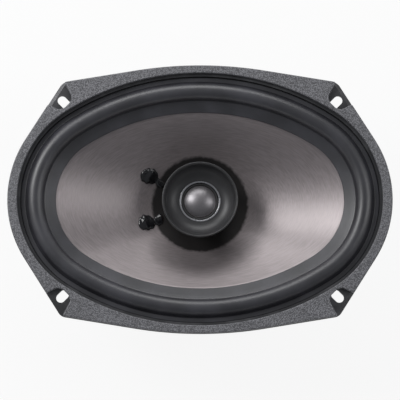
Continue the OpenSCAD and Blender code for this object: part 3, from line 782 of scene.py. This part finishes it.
def tinsel_lead(name, eyelet, sizes, oval):
    """A braided lead that bows from its eyelet to its blade."""
    x, y = eyelet
    share = eyelet_share(eyelet, sizes, oval)
    side = math.copysign(1, y)
    drop, bow = 3.7, 1.6
    start = np.array([x, y, cone_height(share, sizes) - drop])
    end = np.array([SOLDER_X, SOLDER_Y * side, BLADE_TOP + 0.7])
    u = np.linspace(0, 1, 120)
    route = start + u[:, None] * (end - start)
    route[:, 2] += bow * np.sin(math.pi * u) ** 2
    lead_in = np.array([x, y, start[2] + 1.6]) + np.linspace(0, 1, 8)[:, None] * (0, 0, -1.5)
    route = np.vstack([lead_in[:-1], route])

    def braid(angle, run):
        over = np.maximum(np.sin(3 * angle + 2.6 * run), np.sin(3 * angle - 2.6 * run))
        return 0.90 + 0.14 * over

    return tube(name, route, 0.6, 18, braid), start[0], end[0]


def eyelet_share(eyelet, sizes, oval):
    """Share of the way from the cone's edge to its neck at an eyelet."""
    bearing = np.radians(np.arange(0, 360, 0.25))
    neck = sizes.neck_radius / MM * np.stack([np.cos(bearing), np.sin(bearing)], -1)
    edge = oval.at(bearing, 0)

    def gap(share):
        return np.min(np.linalg.norm((1 - share) * edge + share * neck - eyelet, axis=1))

    return min(np.linspace(0, 1, 401), key=gap)


# ---- The tweeter ----

def tweeter_horn(sizes):
    """Moulded shell: a rounded rim, a flare down to the mouth and a skirt round the motor."""
    rim_r, rim_z = TWEETER_HIGH[0], TWEETER_HIGH[2]
    mouth = sizes.mouth_radius / MM
    skirt = 17.8
    depth = 9.5
    flare = [(mouth + (rim_r - 1.5 - mouth) * math.sin(u), rim_z - depth * math.cos(u) - 0.12)
             for u in np.radians(np.linspace(86, 0, 26))]
    lip = [(rim_r - 0.55 + 0.5 * math.cos(u), rim_z - 0.5 + 0.5 * math.sin(u))
           for u in np.radians(np.linspace(0, 150, 9))]
    back = rounded([(mouth, rim_z - depth - 1.4), (mouth + 1, rim_z - depth - 1.4),
                    (mouth + 1, TWEETER_LOW[2]), (skirt, TWEETER_LOW[2]),
                    (skirt, rim_z - depth - 1.5), (rim_r - 2, rim_z - depth + 4),
                    (rim_r, rim_z - 2)], 0.4, False, 4)
    return lathe("tweeter_horn", lip + flare + back, 192)


def tweeter_trim(sizes):
    """Bright ring that holds the dome's edge down."""
    mouth = sizes.mouth_radius / MM
    return lathe("tweeter_bright_ring", rounded(
        [(mouth - 0.1, -11.0), (mouth - 0.1, -9.6), (mouth - 1.05, -9.75), (mouth - 1.25, -11.0)],
        0.22), 160)


def tweeter_dome_shell(sizes):
    """Domed cap on the soft edge, with a pinhole at its crown."""
    base, rise = sizes.dome_radius / MM, sizes.dome_rise / MM
    base_z, thickness, pinhole = -10.6, 0.3, 0.04
    ball = (base * base + rise * rise) / (2 * rise)
    out = np.linspace(pinhole, base, 26)
    top = [(r, base_z + rise - ball + math.sqrt(ball * ball - r * r)) for r in out]
    low = [(r, z - thickness) for r, z in top if r < base - thickness]
    return lathe("tweeter_dome_cap", top + low[::-1], DISC_TURNS)


def tweeter_roll():
    """Soft edge of the dome: one small roll."""
    path = [(9.75, -11.02), (10.0, -10.98)]
    path += [(10.7 - 0.65 * math.cos(u), -11.0 + 0.55 * math.sin(u))
             for u in np.radians(np.linspace(10, 170, 15))]
    path += [(11.5, -11.05), (12.3, -11.1)]
    section = thickened(path, 0.09, 0.09)
    piece = lathe("tweeter_soft_edge", section, DISC_TURNS)
    held, carried = 11.6, 9.9
    return piece, np.repeat((held - section[:, 0]) / (held - carried), DISC_TURNS)


# ---- Connections ----

LEAD_Y, LEAD_RADIUS = 1.0, 0.8


def tweeter_lead_route(side):
    """From the post's bore, across the boot's channel and up to a blade."""
    low = BOOT_LOW[2] + LEAD_RADIUS + 0.2
    back = corners("back_plate")[0][2]
    out = BOOT_LOW[0] + 1.6 - LEAD_RADIUS - 0.3
    hatch = BOARD_HIGH[0] - 2.3
    floor = corners("top_plate")[1][2]
    top = BLADE_TOP + LEAD_RADIUS + 0.1
    route = [(0, LEAD_Y, -20.2), (0, LEAD_Y, back + 3), (-0.4, LEAD_Y, back + 1),
             (-1.4, LEAD_Y, back - 0.3), (-3.2, LEAD_Y, low), (out + 2, LEAD_Y, low),
             (out + 0.6, LEAD_Y, low + 0.6), (out, LEAD_Y, low + 2), (out, LEAD_Y, floor - 6),
             (out - 0.5, LEAD_Y, floor - 3), (hatch + 0.6, LEAD_Y, -45),
             (hatch, LEAD_Y, -42.5), (hatch, LEAD_Y, BOARD_HIGH[2]),
             (hatch, LEAD_Y + 0.5, top - 0.3), (hatch, LEAD_Y + 1.6, top), (hatch, 6.5, top)]
    return [(x, side * y, z) for x, y, z in route]


def capacitor_body():
    """Sleeved cylinder along Y, necked in at both ends."""
    centre = (CAPACITOR_LOW + CAPACITOR_HIGH) / 2
    radius = (CAPACITOR_HIGH[2] - CAPACITOR_LOW[2]) / 2
    half = (CAPACITOR_HIGH[1] - CAPACITOR_LOW[1]) / 2
    profile = rounded([(0.05, -half + 0.7), (radius - 1.6, -half + 0.7), (radius - 1.2, -half),
                       (radius, -half), (radius, -half + 2.0), (radius - 0.45, -half + 2.6),
                       (radius, -half + 3.2), (radius, half), (radius - 1.2, half),
                       (radius - 1.6, half - 0.7), (0.05, half - 0.7)], 0.5, False)
    angle = np.arange(96) * 2 * math.pi / 96
    rows = [np.column_stack([centre[0] + r * np.cos(angle), np.full(96, y),
                             centre[2] + r * np.sin(angle)]) for r, y in profile]
    return skin("capacitor_sleeve", rows, False)


def capacitor_lead_route(side):
    centre = (CAPACITOR_LOW + CAPACITOR_HIGH) / 2
    end = CAPACITOR_HIGH[1]
    out = max(end, 13.0) + 1.2
    top = BLADE_TOP + 0.5
    route = [(end - 0.6, centre[2]), (out - 0.4, centre[2]), (out, centre[2] + 0.6),
             (out, top - 1), (out - 0.6, top), (9.4, top)]
    return [(centre[0], side * y, z) for y, z in route]


def solder_dot(name, x, y, z, radius):
    rows = []
    angle = np.arange(24) * 2 * math.pi / 24
    for u in np.radians(np.linspace(4, 176, 12)):
        r = radius * math.sin(u) * (1 + 0.06 * math.cos(3 * u))
        rows.append(np.column_stack([x + r * np.cos(angle), y + r * np.sin(angle),
                                     np.full(24, z - 0.55 * radius * math.cos(u))]))
    return skin(name, rows, False)


# ---- Stage ----

def stage_sheet(name, rows):
    piece = solid(name, np.asarray(rows, float).reshape(-1, 3),
                  quads(len(rows), len(rows[0]), False))
    return piece


def stage_white():
    """Pale matt paper that the camera and mirrors see as nearly white."""
    finish = Finish("stage_white", {})
    seen = [finish.node("ShaderNodeLightPath", {}, {}, name)
            for name in ("Is Camera Ray", "Is Glossy Ray", "Is Transmission Ray")]
    paper, glow_share = finish.noise(0.01, 2.0), 0.9
    matt = finish.node("ShaderNodeBsdfDiffuse", {},
                       {"Color": finish.blend(paper, (0.80, 0.80, 0.80), (0.84, 0.84, 0.84))})
    glow = finish.node("ShaderNodeEmission", {}, {"Color": (1, 1, 1, 1), "Strength": 1.0})
    share = finish.node("ShaderNodeMath", {"operation": "MINIMUM"},
                        {0: seen[0] + seen[1] + seen[2], 1: 1.0}) * glow_share
    both = finish.node("ShaderNodeMixShader", {}, {0: share, 1: matt, 2: glow})
    finish.feed(finish.output.inputs["Surface"], both)
    finish.tree.nodes.remove(finish.shader)
    return finish.material


def softbox(name, towards, distance, width, height, power):
    lamp = bpy.data.lights.new(name, "AREA")
    lamp.shape, lamp.size, lamp.size_y, lamp.energy = "RECTANGLE", width, height, power
    box = bpy.data.objects.new(name, lamp)
    box.location = Vector(towards).normalized() * distance
    box.rotation_euler = box.location.to_track_quat("Z", "Y").to_euler()
    bpy.context.scene.collection.objects.link(box)


# ---- Operators ----

def settings():
    scene = bpy.context.scene
    return scene.speaker_sizes, scene.speaker_colours


class SPEAKER_OT_stage(bpy.types.Operator):
    """Camera, floor, backdrop and soft lamps"""
    bl_idname = "speaker.stage"
    bl_label = "Stage"

    def execute(self, context):
        scene = context.scene
        lens = bpy.data.cameras.new("front_camera")
        camera = bpy.data.objects.new("front_camera", lens)
        distance, elevation = 1.6, math.radians(82.2)
        back = Vector((0, -math.cos(elevation), math.sin(elevation)))
        aim, seen_width, sensor_width = Vector((0, -0.0009, 0.003)), 0.2436, 36
        camera.location = aim + back * distance
        camera.rotation_euler = back.to_track_quat("Z", "Y").to_euler()
        lens.lens = sensor_width * distance / seen_width
        lens.clip_start, lens.clip_end = 0.05, 20
        scene.collection.objects.link(camera)
        scene.camera = camera
        scene.view_settings.view_transform = "Standard"

        white = stage_white()
        floor_z = BOOT_LOW[2] - 0.05
        sides = 96
        angle = np.arange(sides) * 2 * math.pi / sides
        ring = np.stack([np.cos(angle), np.sin(angle), np.zeros(sides)], -1)
        floor = stage_sheet("floor", [ring * r + (0, 0, floor_z) for r in (1, 500, 3000)])
        wall = stage_sheet("backdrop", [ring * 2999 + (0, 0, floor_z + z) for z in (0, 500, 1000)])
        for sheet in (floor, wall):
            sheet.data.materials.append(white)

        softbox("left_softbox", (-0.68, 0.36, 0.64), 1.1, 0.42, 0.50, 6.0)
        softbox("right_softbox", (0.74, 0.10, 0.68), 1.1, 0.36, 0.60, 2.2)
        softbox("far_softbox", (-0.10, 0.86, 0.50), 1.1, 0.9, 0.45, 5.5)
        world = scene.world or bpy.data.worlds.new("room")
        scene.world = world
        world.use_nodes = True
        for node in world.node_tree.nodes:
            if node.type == "BACKGROUND":
                node.inputs["Color"].default_value = (0.92, 0.95, 1.0, 1)
                node.inputs["Strength"].default_value = 0.22
        return {"FINISHED"}


class SPEAKER_OT_trim_ring(bpy.types.Operator):
    """Grained ring over the flange, with a pocket at each mounting slot"""
    bl_idname = "speaker.trim_ring"
    bl_label = "Trim ring"

    def execute(self, context):
        sizes, colours = settings()
        placed(trim_ring(sizes, Oval(sizes)), "frame", ring_grain(colours), "grained_ring",
               "trim_ring")
        return {"FINISHED"}


class SPEAKER_OT_basket(bpy.types.Operator):
    """Coat of the pressed basket"""
    bl_idname = "speaker.basket"
    bl_label = "Basket"

    def execute(self, context):
        dress(basket_coat(settings()[1]), "basket")
        return {"FINISHED"}


class SPEAKER_OT_surround(bpy.types.Operator):
    """Rubber half roll between the basket and the cone"""
    bl_idname = "speaker.surround"
    bl_label = "Surround"

    def execute(self, context):
        sizes, colours = settings()
        piece, share = surround_skin(sizes, Oval(sizes))
        flexing(piece, share, surround_rubber(colours), "surround")
        return {"FINISHED"}


class SPEAKER_OT_cone(bpy.types.Operator):
    """Cone, its two drops of cement, the eyelets, and the coil on its former"""
    bl_idname = "speaker.cone"
    bl_label = "Cone and coil"

    def execute(self, context):
        sizes, colours = settings()
        cone = cone_shell(sizes, Oval(sizes))
        placed(cone, "cone_assembly", cone_skin(colours, sizes), "cone", "cone")
        cement = cement_gloss(colours)
        beads = (("upper", EYELETS[0], 0.55, 0.4), ("lower", EYELETS[1], 1.0, 2.1))
        for name, eyelet, lobe, phase in beads:
            placed(glue_bead(f"cement_{name}", cone, eyelet, lobe, phase), "cone_assembly",
                   cement, "cement", f"lead_glue_{name}")
        dress(moulded_finish("eyelet_brass", (0.75, 0.52, 0.20), 1.0, 0.3, 0.15, 1.5, 0.01),
              "lead_eyelets")
        dress(moulded_finish("former_film", (0.42, 0.20, 0.05), 0.1, 0.35, 0.1, 0.8, 0.01),
              "voice_coil_former", "tweeter_former")
        dress(coil_wire(), "voice_coil", "tweeter_coil")
        return {"FINISHED"}


class SPEAKER_OT_spider(bpy.types.Operator):
    """Corrugated cloth disc that centres the coil"""
    bl_idname = "speaker.spider"
    bl_label = "Spider"

    def execute(self, context):
        piece, share = spider_disc()
        flexing(piece, share, spider_cloth(settings()[1]), "spider")
        return {"FINISHED"}


class SPEAKER_OT_leads(bpy.types.Operator):
    """Braided leads between the cone and the blades"""
    bl_idname = "speaker.leads"
    bl_label = "Braided leads"

    def execute(self, context):
        sizes, _ = settings()
        oval = Oval(sizes)
        braid = moulded_finish("lead_braid", (0.70, 0.42, 0.26), 1.0, 0.34, 0.2, 5.0, 0.03)
        tin = moulded_finish("solder_tin", (0.62, 0.62, 0.64), 1.0, 0.25, 0.2, 1.2, 0.05)
        for name, eyelet in zip(("upper", "lower"), EYELETS):
            lead, moving_x, fixed_x = tinsel_lead(f"braided_lead_{name}", eyelet, sizes, oval)
            where = np.array([v.co.x for v in lead.data.vertices]) / MM
            flexing(lead, (where - fixed_x) / (moving_x - fixed_x), braid,
                    "tinsel_leads")
            placed(solder_dot(f"solder_{name}", fixed_x, math.copysign(SOLDER_Y, eyelet[1]),
                              BLADE_TOP + 0.5, 1.3), "frame", tin, "tinned_wire")
        return {"FINISHED"}


class SPEAKER_OT_motor(bpy.types.Operator):
    """Finishes of the plates, magnet, boot, rivets, post and nut"""
    bl_idname = "speaker.motor"
    bl_label = "Motor"

    def execute(self, context):
        _, colours = settings()
        dress(turned_steel("plated_plate", colours.steel), "top_plate", "back_plate",
              "tweeter_post", "tweeter_yoke", "tweeter_pole_plate")
        dress(moulded_finish("plated_fixing", scaled(colours.steel, 1.15), 1.0, 0.3, 0.2, 1.5, 0.02),
              "plate_rivets", "post_nut", "terminal_rivets")
        dress(moulded_finish("ferrite", (0.045, 0.045, 0.05), 0.2, 0.6, 0.2, 0.7, 0.06),
              "magnet")
        dress(moulded_finish("boot_rubber", (0.018, 0.018, 0.019), 0.0, 0.55, 0.2, 1.3, 0.06),
              "magnet_boot")
        dress(moulded_finish("nickel", (0.62, 0.60, 0.56), 1.0, 0.2, 0.15, 0.8, 0.01),
              "tweeter_magnet")
        return {"FINISHED"}


class SPEAKER_OT_tweeter(bpy.types.Operator):
    """Tweeter shell, its bright ring, and the dome on its soft edge"""
    bl_idname = "speaker.tweeter"
    bl_label = "Tweeter"

    def execute(self, context):
        sizes, colours = settings()
        plastic = moulded_finish("tweeter_plastic", (0.035, 0.035, 0.037), 0.15, 0.40, 0.12,
                                 2.5, 0.02, contrast=0.2)
        placed(tweeter_horn(sizes), "frame", plastic, "black_plastic", "tweeter_shell")
        dress(plastic, "tweeter_back_cap")
        placed(tweeter_trim(sizes), "frame",
               moulded_finish("bright_ring", (0.50, 0.50, 0.52), 1.0, 0.28, 0.1, 1.0, 0.004,
                              contrast=0.06), "bright_ring", "tweeter_ring")
        placed(tweeter_dome_shell(sizes), "dome_assembly",
               moulded_finish("dome_metal", colours.dome, 0.85, 0.40, 0.1, 1.6, 0.004,
                              contrast=0.1), "dome", "tweeter_dome")
        piece, share = tweeter_roll()
        flexing(piece, share,
                moulded_finish("edge_cloth", (0.012, 0.012, 0.013), 0.0, 0.6, 0.2, 4.0, 0.03),
                "tweeter_edge")
        return {"FINISHED"}


class SPEAKER_OT_terminals(bpy.types.Operator):
    """Board, blades, capacitor and the leads of the tweeter"""
    bl_idname = "speaker.terminals"
    bl_label = "Terminals"

    def execute(self, context):
        _, colours = settings()
        dress(moulded_finish("phenolic_board", colours.board, 0.0, 0.42, 0.15, 1.2, 0.03,
                             (0.3, 1, 1)), "terminal_board")
        dress(moulded_finish("blade_brass", (0.78, 0.58, 0.26), 1.0, 0.28, 0.2, 0.8, 0.01,
                             (0.2, 1, 1)), "wide_terminal", "narrow_terminal")
        sleeve = moulded_finish("capacitor_film", colours.sleeve, 0.0, 0.25, 0.1, 0.5, 0.03)
        placed(capacitor_body(), "frame", sleeve, "sleeve", "capacitor")
        tin = moulded_finish("tinned_wire", (0.66, 0.66, 0.68), 1.0, 0.25, 0.15, 2.0, 0.01)
        covers = {1: moulded_finish("red_cover", (0.38, 0.012, 0.010), 0.0, 0.38, 0.1, 1.5, 0.02),
                  -1: moulded_finish("black_cover", (0.014, 0.014, 0.015), 0.0, 0.4, 0.1, 1.5, 0.02)}
        for side, name in ((1, "positive"), (-1, "negative")):
            wire = tube(f"capacitor_lead_{name}", flowing(capacitor_lead_route(side), 6), 0.35)
            placed(wire, "frame", tin, "tinned_wire", "capacitor_leads")
            wire = tube(f"tweeter_lead_{name}", flowing(tweeter_lead_route(side), 8), LEAD_RADIUS,
                        16)
            placed(wire, "frame", covers[side], "wire_cover", "tweeter_leads")
        return {"FINISHED"}


OPERATORS = (SPEAKER_OT_stage, SPEAKER_OT_basket, SPEAKER_OT_trim_ring, SPEAKER_OT_surround,
             SPEAKER_OT_cone, SPEAKER_OT_spider, SPEAKER_OT_leads, SPEAKER_OT_motor,
             SPEAKER_OT_tweeter, SPEAKER_OT_terminals)


class SPEAKER_PT_panel(bpy.types.Panel):
    """Sizes, colours and the pieces of the speaker"""
    bl_idname = "SPEAKER_PT_panel"
    bl_label = "Coaxial speaker"
    bl_space_type = "VIEW_3D"
    bl_region_type = "UI"
    bl_category = "Speaker"

    def draw(self, context):
        layout = self.layout
        for group in (context.scene.speaker_sizes, context.scene.speaker_colours):
            column = layout.column(align=True)
            for name in group.__annotations__:
                column.prop(group, name)
        for operator in OPERATORS:
            layout.operator(operator.bl_idname)


CLASSES = (SpeakerSizes, SpeakerColours, *OPERATORS, SPEAKER_PT_panel)


def register():
    for cls in CLASSES:
        bpy.utils.register_class(cls)
    bpy.types.Scene.speaker_sizes = PointerProperty(type=SpeakerSizes)
    bpy.types.Scene.speaker_colours = PointerProperty(type=SpeakerColours)


def unregister():
    del bpy.types.Scene.speaker_colours
    del bpy.types.Scene.speaker_sizes
    for cls in reversed(CLASSES):
        bpy.utils.unregister_class(cls)


def main():
    register()
    for operator in OPERATORS:
        group, name = operator.bl_idname.split(".")
        getattr(getattr(bpy.ops, group), name)()


if __name__ == "__main__":
    main()
